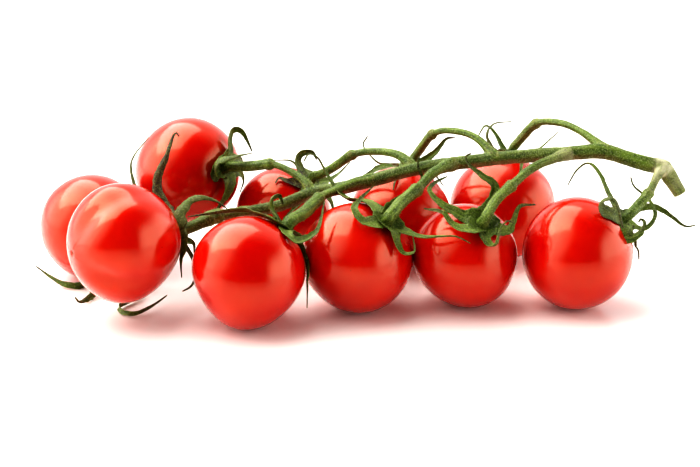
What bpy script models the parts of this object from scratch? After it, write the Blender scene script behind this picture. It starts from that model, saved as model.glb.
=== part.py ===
"""A truss of ripe cherry tomatoes, picked and lying on a table.

One green main stem carries the fruits in two rows. Each fruit hangs on its own stalk, which has a swollen
knuckle part of the way along, and wears a calyx: a small green hub with long, curling sepals.

Lengths here are in millimetres; the meshes are written in metres. +X runs along the truss towards the
cut end of the stem, +Y is away from the front row, +Z is up, and the table is at Z = 0.
"""
import math

import bmesh
import bpy
from mathutils import Vector

MM = 0.001
GAP = 0.3                     # clearance between pieces that touch on the real truss
TRUSS_SHIFT = Vector((-2.9, 0.0, 0.0))   # brings the middle of the truss over the origin

# --- tomatoes -------------------------------------------------------------------------------------
FRUIT_SEGMENTS = 20
FRUIT_RINGS = 11
DIMPLE_DEPTH = 0.085          # of the radius, where the stalk enters
DIMPLE_SPREAD = math.radians(15)

# number: centre, radius, and the direction that the stem end points in
TOMATOES = {
    1: ((-79.0, 11.0, 15.6), 16.0, (0.48, -0.72, -0.51)),
    2: ((-64.0, -26.0, 23.0), 16.2, (0.81, 0.58, 0.0)),
    3: ((-51.0, 26.0, 29.0), 16.5, (0.76, -0.6, 0.25)),
    4: ((-28.5, -30.5, 15.6), 16.0, (0.63, 0.25, 0.73)),
    5: ((-21.0, 26.5, 14.6), 15.0, (0.55, -0.27, 0.79)),
    6: ((2.0, -18.0, 15.6), 16.0, (0.52, -0.3, 0.8)),
    7: ((15.5, 19.5, 15.6), 16.0, (0.2, 0.6, 0.78)),
    8: ((33.6, -14.5, 14.9), 15.3, (0.26, -0.51, 0.82)),
    9: ((48.0, 28.0, 16.1), 16.5, (0.2, 0.5, 0.84)),
    10: ((65.8, -15.5, 15.9), 16.3, (0.76, -0.05, 0.65)),
}

# --- main stem: route from the cut end to the last fork, and its radius along the way -------------
STEM_SIDES = 10
STEM_STEP = 3.0
STEM_ROUTE = (
    (97.5, -3, 30.5, 2.0), (94.5, -2.5, 35, 2.2), (92, -2, 38.3, 2.5), (88.5, -1.5, 39, 2.3),
    (81, -0.5, 40.8, 2.2), (74.5, 0, 42.6, 2.3), (63.5, 0, 41.9, 2.1), (47.5, 1, 40.5, 2.0),
    (34.5, 1, 39, 2.0), (24, 0, 38, 1.95), (14.5, -1, 36.2, 1.95), (-1, -1, 31.9, 2.0),
    (-11, 0, 29.7, 2.0), (-21, -2, 26.4, 1.8), (-29.5, -4, 25.2, 1.7), (-38, -7, 25, 1.6),
)

# --- stalks: route from the stem's axis towards the fruit, the knuckle's place in it, and the radius
# above and below the knuckle; each one ends on its calyx -----------------------------------------
STALK_SIDES = 8
STALK_STEP = 1.9
STALK_LANDING = 2.5           # straight stretch at the end, square to the calyx
LANDING_TURN = 5.0            # length over which the stalk turns square to the calyx
KNUCKLE_RISE = 0.45
KNUCKLE_REACH = 1.5
KNUCKLE_SOFTNESS = 1.0        # length over which the radius changes at the knuckle
STALKS = {
    1: (((-30, -4, 25.2), (-37, -2.2, 23.8), (-44.5, -3, 21.5), (-52, -4.5, 17), (-59, -5, 11.5),
         (-65.5, -5.5, 7.2)), 3, 1.0, 1.2),
    2: (((-38, -7, 25), (-41, -9, 24.7), (-44.5, -11.8, 23.7)), 1, 1.5, 1.6),
    3: (((-11, 0, 29.7), (-13.5, 2.5, 32.5), (-18, 6, 34.7), (-23.5, 9, 36), (-30.5, 12, 34.5)),
        3, 1.0, 1.35),
    4: (((-1, -1, 31.9), (-5, -6, 31.7), (-8.7, -11, 31.2), (-13, -20, 30)), 2, 1.3, 1.7),
    5: (((19, 0, 37.3), (14.3, 4, 40.3), (8, 9, 40), (1, 13, 38), (-5, 17, 32.8), (-9.5, 20, 29.5)),
        3, 1.1, 1.4),
    6: (((31, 0.8, 38.8), (24.5, -6, 37.8), (19.7, -11, 34.5), (14.5, -18, 32.2)), 2, 1.35, 1.7),
    7: (((43, 1, 40.3), (37.5, 6.5, 45), (30.5, 12, 45.7), (25.5, 17, 43.5), (22.5, 22.5, 38)),
        3, 1.15, 1.4),
    8: (((65, 0, 42), (56, -7, 41), (51, -10.5, 39.2), (46.5, -14.5, 36.5), (41.5, -19, 33.3)),
        3, 1.3, 1.6),
    9: (((75.5, 0, 42.6), (69.5, 6.5, 46.4), (63.5, 13, 47.8), (57.5, 20, 46), (54, 28, 39.5)),
        3, 1.2, 1.4),
    10: (((92, -2, 38.3), (89.7, -6, 36.5), (87, -9.5, 32.8), (83, -13.5, 29.8)), 2, 1.05, 1.45),
}

# --- calyces --------------------------------------------------------------------------------------
HUB_RADIUS = 2.4
HUB_THICKNESS = 1.0
HUB_SINK = 0.35               # how far the hub's middle sits below the shoulder of the fruit
SEPAL_BASE = 2.0
SEPAL_TIP = 0.45
SEPAL_THICKNESS = (0.7, 0.45)
SEPAL_STEP = 3.0
SEPAL_LIFT = 0.95             # a sepal's middle stays this far off every skin
SEPAL_WIDENING = 3.0          # length over which a sepal widens out from its hub
SEPAL_TAPER = 1.5             # how fast it narrows towards its tip

# number: the first sepal's turn about the stem end in degrees, then each sepal in order round the hub:
# its greatest width, and the points that it passes through, measured from the middle of the hub
SEPALS = {
    1: (0, (
        (2.8, ((-3.5, -2.5, -1), (-4, -6, -4.5), (-5.5, -11, -6.5), (-7.5, -17, -6), (-8.5, -18.5, -4))),
        (2.6, ((-3, 1, -4.5), (-8, 0.5, -6.3), (-10.5, -2, -6.3), (-14, -2, -6), (-18, 0, -5),
               (-24, 3, -2))),
        (2.6, ((4, -3, -3.5), (7, -8, -5.5), (9, -12, -6.2), (6, -17, -6.5), (4.5, -20, -6.5),
               (6.5, -24, -6.5),
               (10, -24.5, -6.5), (14, -19, -6.3), (17.5, -13, -5.5))),
        (2.6, ((4, 2, 1), (7, 3, 4), (9, 5, 9))),
        (2.6, ((-2, 0, 5), (-3, -1, 9), (-2, -3, 13))),
    )),
    2: (0, (
        (2.6, ((2.5, -3.5, -1.5), (2.5, -6, -5), (3, -8, -11))),
        (2.2, ((3, -0.5, -4), (5.5, -2, -7.5), (6.5, -4.5, -11), (5.5, -6, -14), (3, -7, -15.5))),
        (2.4, ((1.5, 3, -3.5), (5, 5, -5), (5.5, 4, -8))),
        (2.2, ((-4, 6, 1.5), (-9, 9, 5), (-12, 12, 9.5), (-13.5, 14.5, 15), (-12.5, 16.5, 18.5),
               (-8.5, 19.5, 23))),
        (3.0, ((-1, 6, 3.5), (-4, 9.5, 6.5), (-6.5, 12, 10.5), (-5.5, 13.5, 14.5), (-3, 14.5, 18.5),
               (-0.5, 16.5, 24))),
        (3.0, ((1.5, -0.5, 3.5), (2.5, 1.5, 6.5), (5, 4, 8.7), (8.5, 4, 9.5), (12.5, 5, 8), (16, 4, 5.5))),
    )),
    3: (20, (
        (3.2, ((-1, -4, -1.5), (-1.5, -4.5, -5))),
        (3.4, ((2, -2, -3.5), (3.5, -3.5, -6.5), (2.5, -4.5, -10), (0, -5.5, -13.5))),
        (2.4, ((4, 3, -2.5), (5.5, 4, -5.5), (4.5, 3, -9))),
        (2.6, ((2, 5, 0.5), (3, 9, -0.5), (3, 13, -3))),
        (2.8, ((1.5, 2.5, 4), (1.5, 3.5, 8), (2.5, 5.5, 10.5), (5.5, 6.5, 9.5), (8.5, 5, 3.5))),
        (3.4, ((-2, -3, 2), (-1.5, -5, 4), (3, -5.5, 5), (9, -2.5, 5))),
    )),
    4: (75, (
        (2.6, ((3, 2.5, -3), (5, 2, -7), (6, -1.5, -11), (6.5, -5, -16), (6.5, -8, -20.5))),
        (2.6, ((0, 5, -1), (0.5, 9, -3), (0, 12, -6))),
        (3.4, ((-2.5, 3.5, 2), (-4, 4.5, 5), (-3.5, 4.5, 8), (-1.5, 6.5, 8), (-0.5, 7.5, 5))),
        (3.2, ((-3, -2.5, 2.5), (-6.5, -1, 4), (-9.5, 2.5, 4.5), (-15, 5.5, 3.5), (-21, 8, 2),
               (-28, 10, 0.5))),
        (3.0, ((0.5, -4.5, 1), (2, -8, 0.5), (4, -8, -0.8), (7.5, -4.5, -0.5), (10, -2.5, 1.5),
               (11.5, 2.5, 7.5))),
    )),
    5: (33, (
        (2.6, ((-1, -6, -1), (-3, -9.5, -4), (-7.5, -12, -8))),
        (2.6, ((4, -2, -2), (7, -5, -5), (8, -8, -8))),
        (2.4, ((3.5, 3, -0.5), (6.5, 4.5, -0.5), (9.5, 5, 1.5), (13, 6, 5))),
        (1.8, ((-1, 5, 0.5), (-3.5, 8, 2.5), (-6, 9, 4.5), (-11, 8, 5))),
        (3.4, ((-2.5, 1.5, 2.5), (-3.8, 2, 6.5), (-2.5, 3.5, 8.5), (1, 5, 8.5), (2.5, 5, 6))),
        (2.6, ((-3, -3, 0), (-6.5, -4, 1.5), (-9, -3.5, 2.5), (-10, -4.5, 1))),
    )),
    6: (48, (
        (3.4, ((2, -4.5, -1.5), (3, -6, -4.5), (5, -7.5, -7), (8, -8.5, -6), (7.5, -6.5, -2))),
        (3.0, ((4.5, -2, -2), (10, -5, -3), (15, -6, -2.5), (19.5, -6, -2.5), (23.5, -7.5, -4))),
        (2.8, ((1, 3.5, 1.5), (3, 7, 3.5), (6.5, 11, 4.5), (9.5, 14.7, 5.5), (10.8, 16.7, 8),
               (9.6, 16.8, 11.5),
               (10, 17, 14.5))),
        (3.4, ((-3, 3, 1.5), (-6.5, 7, 2.5), (-11, 10.5, 3.5), (-14, 15, 4.5), (-17, 18, 8.5),
               (-19.5, 19.5, 13),
               (-22, 19, 14.5), (-23.5, 17, 13))),
        (3.2, ((-3.5, -5, 0.5), (-7.5, -7, 1), (-9, -4, 4), (-7, 1, 5.5), (-3.5, 5, 9))),
    )),
    7: (60, (
        (3.2, ((2.5, 3.5, 0.5), (6, 5, 3), (9, 6, 5.5), (12, 7, 9), (15, 8.5, 9))),
        (2.2, ((-2, 5.5, 0.5), (-6, 7, 0.5), (-9.5, 7, 1), (-12.5, 8.5, 3.5), (-14.5, 11, 6),
               (-13, 12.5, 8.5))),
        (3.8, ((-4, 0.5, 1), (-9, 0.5, 1.2), (-12.5, 0, -0.5), (-15.5, -1.5, -1.5))),
        (2.6, ((-1.5, -5, 2.5), (-3, -11, 3.5), (-4.5, -17, 3), (-5.5, -21, 0.5))),
        (2.4, ((4, -3, 1.5), (7.5, -6, 1), (10.5, -9, -2))),
    )),
    8: (15, (
        (3.2, ((-3, -4.5, -1), (-7, -4.5, -1), (-9.5, -3, 1), (-11.5, -1.5, 3.5), (-16.5, 0.5, 4.5))),
        (3.0, ((0.5, -5, -2.5), (1.5, -7, -4.5), (3.5, -9, -3), (4.5, -7.5, 1), (8, -3, 2))),
        (2.8, ((4, -1.5, -1), (7.5, -0.5, -1.5), (9, 2, 0.5), (11, 5.5, 3.5), (16, 9, 3))),
        (3.6, ((1, 3.5, 2), (3.5, 7, 5.5), (4, 8.5, 9), (0, 8.5, 12.2), (-3.2, 8, 15.5))),
        (3.4, ((-4, 0.5, 1.5), (-8, 1, 3.5), (-12, 2, 5.5), (-15, 4.5, 8.5), (-13, 8, 10),
               (-9.5, 10.5, 11))),
    )),
    9: (22, (
        (2.2, ((3.5, 1.5, 0.5), (7.5, 3.5, 1), (10.5, 4.5, 3), (13.5, 5.5, 5.5), (16, 6.5, 7.5))),
        (2.6, ((1, 4, -1.5), (2, 8, -4.5), (3, 10, -9))),
        (1.8, ((-1.5, 4, 1), (-3, 6.5, 4.5), (-5, 8, 7.5), (-7.5, 8.5, 9), (-10, 7, 5.5))),
        (2.0, ((-3.5, 0, 1), (-5.8, 1.5, 3.5), (-7.5, 3.5, 7.5), (-5, 6, 10.5), (1, 9, 10.5))),
        (2.4, ((0.5, -5, 2.5), (2, -11, 3.5), (1.5, -17, 2), (0, -21, -1))),
    )),
    10: (0, (
        (3.4, ((-1.5, -3.5, -1.5), (0, -6, -3), (3, -6.5, -3), (5.5, -5.5, -1), (5, -4, 1.5))),
        (1.6, ((1.5, -1, -3.5), (3.5, -0.5, -6.5), (5.5, 0.5, -9), (6, 0.5, -12))),
        (2.2, ((3.5, 2, -2), (7, 3, -3.5), (10, 5, -2.5), (11.5, 8, 0), (10, 12, 3), (6.5, 16, 5.5),
               (5.5, 17.5, 8))),
        (2.8, ((3, 5.5, 0), (7.5, 10, 0.8), (12, 11.5, 0.5), (16, 11, -1.5), (20.5, 9, -4.5),
               (23.5, 8, -4))),
        (3.2, ((-1.5, 3, 3), (-3.5, 5, 7), (-5.5, 8, 11.5), (-8.3, 11, 14), (-11.5, 11, 12),
               (-14.5, 8, 8.3))),
        (4.0, ((-3.5, -2.5, 2.5), (-6.7, -5, 4.5), (-7.5, -6.5, 7.5), (-5, -8, 9), (-2, -9, 6.5),
               (-1, -9, 1.5))),
    )),
}

COLOURS = {                   # base colour and roughness
    "tomato": ((0.72, 0.03, 0.01), 0.12),
    "stem": ((0.19, 0.30, 0.06), 0.6),
    "stalk": ((0.21, 0.33, 0.07), 0.6),
    "calyx": ((0.13, 0.26, 0.05), 0.6),
}


# --- geometry helpers -----------------------------------------------------------------------------
def smooth_route(points, step):
    """Samples about `step` apart on a Catmull-Rom curve through the points, which may carry a radius."""
    points = [Vector(p) for p in points]
    ends = [2 * points[0] - points[1]] + points + [2 * points[-1] - points[-2]]
    samples = []
    for before, start, end, after in zip(ends, ends[1:], ends[2:], ends[3:]):
        count = max(1, round((end.xyz - start.xyz).length / step))
        for i in range(count):
            t = i / count
            samples.append(0.5 * (2 * start + (end - before) * t
                                  + (2 * before - 5 * start + 4 * end - after) * t ** 2
                                  + (3 * start - 3 * end + after - before) * t ** 3))
    return samples + [points[-1]]


def directions(path):
    """Unit tangent at each point of a path."""
    last = len(path) - 1
    return [(path[min(i + 1, last)] - path[max(i - 1, 0)]).normalized() for i in range(last + 1)]


def distances(path):
    """Length along a path up to each of its points."""
    total = [0.0]
    for a, b in zip(path, path[1:]):
        total.append(total[-1] + (b - a).length)
    return total


def carried_sides(tangents, first_side):
    """A side direction at each point of a path, carried along it without twisting."""
    sides = []
    side = first_side
    for tangent in tangents:
        side = (side - tangent * side.dot(tangent)).normalized()
        sides.append(side)
    return sides


def ring_round(centre, side, other, radius, count):
    """Points on a circle in the plane of two unit directions."""
    angles = (2 * math.pi * i / count for i in range(count))
    return [centre + (side * math.cos(a) + other * math.sin(a)) * radius for a in angles]


def add_piece(name, kind, rings_and_faces):
    """Turns points in millimetres and their faces into a named object with its own material."""
    points, faces = rings_and_faces
    mesh = bpy.data.meshes.new(name)
    mesh.from_pydata([(p + TRUSS_SHIFT) * MM for p in points], [], faces)
    body = bmesh.new()
    body.from_mesh(mesh)
    bmesh.ops.recalc_face_normals(body, faces=body.faces)
    body.to_mesh(mesh)
    body.free()
    mesh.shade_smooth()
    mesh.set_sharp_from_angle(angle=math.radians(50))
    colour, roughness = COLOURS[kind]
    material = bpy.data.materials.new(name)
    material.use_nodes = True
    shader = material.node_tree.nodes["Principled BSDF"]
    shader.inputs["Base Color"].default_value = (*colour, 1.0)
    shader.inputs["Roughness"].default_value = roughness
    shader.inputs["Metallic"].default_value = 0.0
    mesh.materials.append(material)
    piece = bpy.data.objects.new(name, mesh)
    bpy.context.collection.objects.link(piece)
    return piece


def tube(path, tangents, radii, sides):
    """A closed tube along a path, with flat ends."""
    start_side = tangents[0].orthogonal().normalized()
    points, faces = [], []
    for centre, tangent, side, radius in zip(path, tangents, carried_sides(tangents, start_side), radii):
        points += ring_round(centre, side, tangent.cross(side), radius, sides)
    for ring in range(len(path) - 1):
        for i in range(sides):
            a, b = ring * sides + i, ring * sides + (i + 1) % sides
            faces.append((a, b, b + sides, a + sides))
    faces += [tuple(range(sides)), tuple(range(len(points) - sides, len(points)))]
    return points, faces


# --- tomatoes -------------------------------------------------------------------------------------
def stem_end_axis(number):
    """Direction in which a tomato's stem end points."""
    return Vector(TOMATOES[number][2]).normalized()


def skin_radius(number, direction):
    """Distance from a tomato's centre to its skin, which dips where the stalk enters."""
    angle = stem_end_axis(number).angle(direction)
    return TOMATOES[number][1] * (1 - DIMPLE_DEPTH * math.exp(-(angle / DIMPLE_SPREAD) ** 2))


def tomato(number):
    """A ball turned about its stem-end axis, dimpled at the stalk and pressed flat on the table."""
    centre, axis = Vector(TOMATOES[number][0]), stem_end_axis(number)
    side = axis.orthogonal().normalized()
    other = axis.cross(side)
    points, faces = [], []
    for ring in range(1, FRUIT_RINGS):
        angle = math.pi * ring / FRUIT_RINGS
        for i in range(FRUIT_SEGMENTS):
            turn = 2 * math.pi * (i + 0.5 * (ring % 2)) / FRUIT_SEGMENTS
            outward = side * math.cos(turn) + other * math.sin(turn)
            direction = axis * math.cos(angle) + outward * math.sin(angle)
            points.append(centre + direction * skin_radius(number, direction))
    points += [centre + axis * skin_radius(number, axis), centre - axis * skin_radius(number, -axis)]
    top, bottom = len(points) - 2, len(points) - 1
    last = (FRUIT_RINGS - 2) * FRUIT_SEGMENTS
    for i in range(FRUIT_SEGMENTS):
        j = (i + 1) % FRUIT_SEGMENTS
        faces += [(top, i, j), (bottom, last + j, last + i)]
        for ring in range(FRUIT_RINGS - 2):
            near, far = ring * FRUIT_SEGMENTS, (ring + 1) * FRUIT_SEGMENTS
            # odd rings are turned by half a segment, so the quads split along alternate diagonals
            if ring % 2 == 0:
                faces += [(near + i, far + i, near + j), (near + j, far + i, far + j)]
            else:
                faces += [(near + i, far + i, far + j), (near + i, far + j, near + j)]
    return points, faces


def flatten_on_table(piece):
    """Cuts a fruit off flat at the table, where its own weight presses it."""
    body = bmesh.new()
    body.from_mesh(piece.data)
    everything = body.verts[:] + body.edges[:] + body.faces[:]
    cut = bmesh.ops.bisect_plane(body, geom=everything, plane_co=(0, 0, 0), plane_no=(0, 0, -1),
                                 clear_outer=True, dist=1e-7)
    rim = [item for item in cut["geom_cut"] if isinstance(item, bmesh.types.BMEdge)]
    if rim:
        bmesh.ops.contextual_create(body, geom=rim)
    bmesh.ops.recalc_face_normals(body, faces=body.faces)
    body.to_mesh(piece.data)
    body.free()


# --- stem and stalks ------------------------------------------------------------------------------
def stem_samples():
    """Centres and radii along the main stem."""
    samples = smooth_route(STEM_ROUTE, STEM_STEP)
    return [s.xyz for s in samples], [s.w for s in samples]


def main_stem():
    """The main stem, cut off square at its thick end."""
    centres, radii = stem_samples()
    return tube(centres, directions(centres), radii, STEM_SIDES)


def clearance_from_stem(point):
    """Distance from a point to the main stem's surface."""
    centres, radii = stem_samples()
    nearest = float("inf")
    for a, b, radius_a, radius_b in zip(centres, centres[1:], radii, radii[1:]):
        along = b - a
        share = min(1.0, max(0.0, (point - a).dot(along) / along.length_squared))
        radius = radius_a + (radius_b - radius_a) * share
        nearest = min(nearest, (point - a - along * share).length - radius)
    return nearest


def hub_middle(number):
    """Middle of the calyx's hub, just inside the shoulder of the fruit."""
    centre, radius, _ = TOMATOES[number]
    return Vector(centre) + stem_end_axis(number) * (radius - HUB_SINK)


def stalk(number):
    """A tapering stalk with its knuckle, from just off the main stem to just off the calyx."""
    route, knuckle, upper, lower = STALKS[number]
    axis, hub = stem_end_axis(number), hub_middle(number)
    end = hub + axis * (HUB_THICKNESS / 2 + GAP)
    path = smooth_route((*route, end + axis * STALK_LANDING, end), STALK_STEP / 4)
    along = distances(path)
    shares = [max(0.0, 1 - (along[-1] - distance) / LANDING_TURN) for distance in along]
    tangents = [t.lerp(-axis, share).normalized() for t, share in zip(directions(path), shares)]
    knuckle_at = min(zip(path, along), key=lambda pair: (pair[0] - Vector(route[knuckle])).length)[1]

    def radius_at(distance):
        share = 1 / (1 + math.exp(-(distance - knuckle_at) / KNUCKLE_SOFTNESS))
        swelling = KNUCKLE_RISE * math.exp(-((distance - knuckle_at) / KNUCKLE_REACH) ** 2)
        return upper + (lower - upper) * share + swelling

    def rim_is_clear(i):
        side = tangents[i].orthogonal().normalized()
        rim = ring_round(path[i], side, tangents[i].cross(side), radius_at(along[i]), STALK_SIDES)
        return all(clearance_from_stem(point) >= GAP for point in rim)

    start = next(i for i in range(len(path)) if rim_is_clear(i))
    stations = list(range(start, len(path) - 3, 4)) + [len(path) - 1]
    return tube([path[i] for i in stations], [tangents[i] for i in stations],
                [radius_at(along[i]) for i in stations], STALK_SIDES)


# --- calyces --------------------------------------------------------------------------------------
def off_the_skins(point):
    """Moves a sepal's point outward until it clears every tomato and the table."""
    for number, (centre, radius, _) in TOMATOES.items():
        away = point - Vector(centre)
        needed = skin_radius(number, away) + SEPAL_LIFT
        if away.length < needed:
            point = Vector(centre) + away.normalized() * needed
    point.z = max(point.z, SEPAL_THICKNESS[0] / 2)
    return point


def sepal_width(greatest, along, length):
    """Width of a sepal: from the hub it swells, then tapers to a thin tip."""
    share = along / length
    blade = SEPAL_TIP + (greatest - SEPAL_TIP) * max(0.0, math.cos(math.pi / 2 * share)) ** SEPAL_TAPER
    blend = min(1.0, along / SEPAL_WIDENING)
    return SEPAL_BASE + (blade - SEPAL_BASE) * blend


def calyx(number):
    """A flat hub whose rim runs out into sepals."""
    first_turn, sepals = SEPALS[number]
    axis, middle = stem_end_axis(number), hub_middle(number)
    across = axis.cross(Vector((0, 0, 1))).normalized()
    onward = axis.cross(across)
    half_turn = math.asin(SEPAL_BASE / 2 / HUB_RADIUS)
    thick, thin = SEPAL_THICKNESS
    points, faces, upper_rim, lower_rim = [], [], [], []
    for k, (greatest, waypoints) in enumerate(sepals):
        turn = math.radians(first_turn) + 2 * math.pi * k / len(sepals)
        outward = across * math.cos(turn) + onward * math.sin(turn)
        sideways = axis.cross(outward)
        base = middle + outward * HUB_RADIUS * math.cos(half_turn)
        route = [base, *(middle + Vector(p) for p in waypoints)]
        path = [base] + [off_the_skins(p) for p in smooth_route(route, SEPAL_STEP)[1:]]
        along = distances(path)
        first = len(points)
        tangents = directions(path)
        sides = carried_sides(tangents, sideways)
        for centre, tangent, side, distance in zip(path, tangents, sides, along):
            up = tangent.cross(side)
            if distance == 0:
                up, side = axis, sideways
            half_width = side * sepal_width(greatest, distance, along[-1]) / 2
            depth = thick + (thin - thick) * distance / along[-1]
            half_depth = up * (depth if distance else HUB_THICKNESS) / 2
            points += [centre - half_width + half_depth, centre + half_width + half_depth,
                       centre + half_width - half_depth, centre - half_width - half_depth]
        for ring in range(len(path) - 1):
            a = first + ring * 4
            faces += [(a + i, a + (i + 1) % 4, a + 4 + (i + 1) % 4, a + 4 + i) for i in range(4)]
        faces.append(tuple(range(len(points) - 4, len(points))))
        upper_rim += [first, first + 1]
        lower_rim += [first + 3, first + 2]
    rim = len(upper_rim)
    for i in range(1, rim, 2):
        j = (i + 1) % rim
        faces.append((upper_rim[i], upper_rim[j], lower_rim[j], lower_rim[i]))
    return points, faces + [tuple(upper_rim), tuple(lower_rim)]


# --- the truss ------------------------------------------------------------------------------------
for leftover in list(bpy.data.objects):
    bpy.data.objects.remove(leftover)

add_piece("main_stem", "stem", main_stem())
for n in TOMATOES:
    flatten_on_table(add_piece(f"tomato_{n:02d}", "tomato", tomato(n)))
    add_piece(f"calyx_{n:02d}", "calyx", calyx(n))
    add_piece(f"stalk_{n:02d}", "stalk", stalk(n))
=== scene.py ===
"""Looks of a truss of ripe cherry tomatoes lying on a table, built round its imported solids.

Lengths are in millimetres until they go into a mesh or an object. The axes are the solids' own: +X runs
along the truss towards the cut end of the stem, +Y is away from the front row of fruits and +Z is up.
"""
import math

import bpy
import numpy as np
from mathutils import Matrix, Vector, kdtree, noise


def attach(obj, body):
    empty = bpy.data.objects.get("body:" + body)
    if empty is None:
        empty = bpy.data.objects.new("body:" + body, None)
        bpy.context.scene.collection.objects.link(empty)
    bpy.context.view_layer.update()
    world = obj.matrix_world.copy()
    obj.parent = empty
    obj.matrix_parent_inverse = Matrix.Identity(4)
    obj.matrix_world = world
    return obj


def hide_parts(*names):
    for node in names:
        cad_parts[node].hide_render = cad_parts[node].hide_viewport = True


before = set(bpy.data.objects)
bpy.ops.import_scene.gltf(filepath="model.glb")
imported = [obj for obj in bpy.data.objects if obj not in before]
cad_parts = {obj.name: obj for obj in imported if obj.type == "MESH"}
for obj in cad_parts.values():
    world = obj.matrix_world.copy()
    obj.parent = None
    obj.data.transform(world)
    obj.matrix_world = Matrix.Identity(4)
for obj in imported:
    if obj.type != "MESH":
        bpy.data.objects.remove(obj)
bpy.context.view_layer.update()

# --- tomatoes -------------------------------------------------------------------------
# Ten ripe cherry tomatoes, each a thin-skinned berry that grew as one piece. They are nearly round, with
# faint shoulders where the stalk enters and a small scar opposite. The eight that touch the table have
# settled on a small flat of their own making.

MM = 0.001
FRUITS = range(1, 11)
FRUIT_SEGMENTS = 80
FRUIT_RINGS = 72
RING_CROWDING = 0.35          # how much closer the rings are at the two ends
FIT_PASSES = 4
FIT_TOLERANCE = 0.01          # a corner this near the ball always counts as on it
FLAT_ZONE = 1.0               # corners lower than this may belong to the flat
DIMPLE_DEPTH = 0.025          # share of the radius
DIMPLE_SPREAD = math.radians(13)
SCAR_DEPTH = 0.035            # share of the radius
SCAR_SPREAD = math.radians(2.8)
SHOULDERS = 5
SHOULDER_RISE = 0.008         # share of the radius
SHOULDER_SPREAD = math.radians(38)
UNEVENNESS = 0.2              # how far the skin strays from a true ball
UNEVEN_WAVES = 1.3            # roughly how many times it does so in one radius
BULGE_SPREAD = math.radians(38)
BULGES = {                    # direction, and how far the skin stands out or in there
    1: (((-0.3, -0.4, 0.9), 0.3),),
    2: (((-0.9, -0.3, 0.0), -0.5), ((-0.1, -0.3, 0.95), 1.2), ((0.0, -0.3, -0.95), 1.2),
        ((0.7, -0.3, -0.65), -0.6), ((0.95, -0.2, 0.0), 0.3)),
    3: (((-0.7, -0.3, 0.6), -0.4), ((0.5, -0.2, 0.8), 0.7)),
    4: (((-0.6, -0.5, 0.5), 0.8), ((-0.75, -0.4, -0.55), -1.3), ((0.8, -0.5, 0.3), 0.4),
        ((-0.3, -0.5, -0.8), 0.9), ((0.65, -0.3, -0.7), -0.8)),
    5: (((-0.8, -0.3, 0.4), 0.5),),
    6: (((-0.8, -0.3, 0.3), 0.5), ((0.8, -0.4, -0.5), 0.3), ((-0.65, -0.3, -0.7), -0.5)),
    8: (((-0.9, -0.3, 0.2), 0.6), ((0.9, -0.3, 0.0), -0.4), ((-0.65, -0.3, -0.7), -0.7),
        ((0.6, -0.3, -0.75), 0.3)),
    9: (((0.8, -0.2, 0.5), 0.9),),
    10: (((-0.9, -0.3, 0.1), -1.1), ((0.0, -0.2, 0.95), 0.7), ((0.7, -0.2, -0.65), -0.2)),
}
GROOVES = {2: ((0.2, -0.28, 0.94), (0.52, -0.73, -0.45))}    # each runs this way from the scar
GROOVE_DEPTH = 1.7
GROOVE_WIDTH = math.radians(12.5)
GROOVE_START = math.radians(30)
GROOVE_LENGTH = math.radians(105)
DOT_CORE = 0.4                # share of a brown or pale dot that has its full colour
TABLE_CLEARANCE = 0.0005      # the floor is this far below the fruits, in millimetres


def ball_of(node):
    """Centre, radius and stem-end direction of a fruit, measured on its solid."""
    corners = np.array([vertex.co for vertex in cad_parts[node].data.vertices], float) / MM
    on_skin = corners
    for _ in range(FIT_PASSES):    # each pass leaves out more of the flat and the dimple, inside the ball
        rows = np.column_stack([2 * on_skin, np.ones(len(on_skin))])
        fit = np.linalg.lstsq(rows, (on_skin ** 2).sum(axis=1), rcond=None)[0]
        centre, radius = fit[:3], math.sqrt(fit[3] + fit[:3] @ fit[:3])
        strays = abs(np.linalg.norm(on_skin - centre, axis=1) - radius)
        on_skin = on_skin[strays <= max(FIT_TOLERANCE, 2 * np.median(strays))]
    above_table = corners[corners[:, 2] > FLAT_ZONE]
    deepest = above_table[np.argmin(np.linalg.norm(above_table - centre, axis=1))]
    return Vector(centre), radius, Vector(deepest - centre).normalized()


BALLS = {n: ball_of(f"tomato_{n:02d}") for n in FRUITS}


def bell(distance, reach):
    """1 at no distance, and falling smoothly to nothing over about twice the reach."""
    return math.exp(-(distance / reach) ** 2)


def spoke(side, other, turn):
    """The direction that lies this far round from one side towards the other."""
    return side * math.cos(turn) + other * math.sin(turn)


def groove_depth(axis, towards, direction):
    """Depth of a shallow groove that runs from the scar up one side of a lobed fruit."""
    beside = axis.cross(towards).normalized()
    if direction.dot(beside.cross(axis)) < 0:
        return 0.0
    across = math.asin(max(-1.0, min(1.0, direction.dot(beside))))
    from_scar = math.pi - axis.angle(direction)
    deepening = 1 - bell(from_scar, GROOVE_START)
    fading = (across / GROOVE_WIDTH) ** 2 + (from_scar / GROOVE_LENGTH) ** 4
    return GROOVE_DEPTH * deepening * math.exp(-fading)


def skin_radius(number, direction):
    """Distance from a fruit's centre to its skin, in a unit direction."""
    _, radius, axis = BALLS[number]
    from_stem = axis.angle(direction)
    side = axis.orthogonal().normalized()
    turn = math.atan2(direction.dot(axis.cross(side)), direction.dot(side))
    dimple = DIMPLE_DEPTH * bell(from_stem, DIMPLE_SPREAD)
    scar = SCAR_DEPTH * bell(math.pi - from_stem, SCAR_SPREAD)
    shoulder = SHOULDER_RISE * math.cos(SHOULDERS * turn + number) * math.sin(from_stem)
    shoulder *= bell(from_stem, SHOULDER_SPREAD)
    bulge = sum(rise * bell(Vector(towards).angle(direction), BULGE_SPREAD)
                for towards, rise in BULGES.get(number, ()))
    groove = sum(groove_depth(axis, Vector(towards), direction) for towards in GROOVES.get(number, ()))
    uneven = UNEVENNESS * noise.noise(direction * UNEVEN_WAVES + axis * number)
    return radius * (1 - dimple - scar + shoulder) + bulge - groove + uneven


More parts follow.
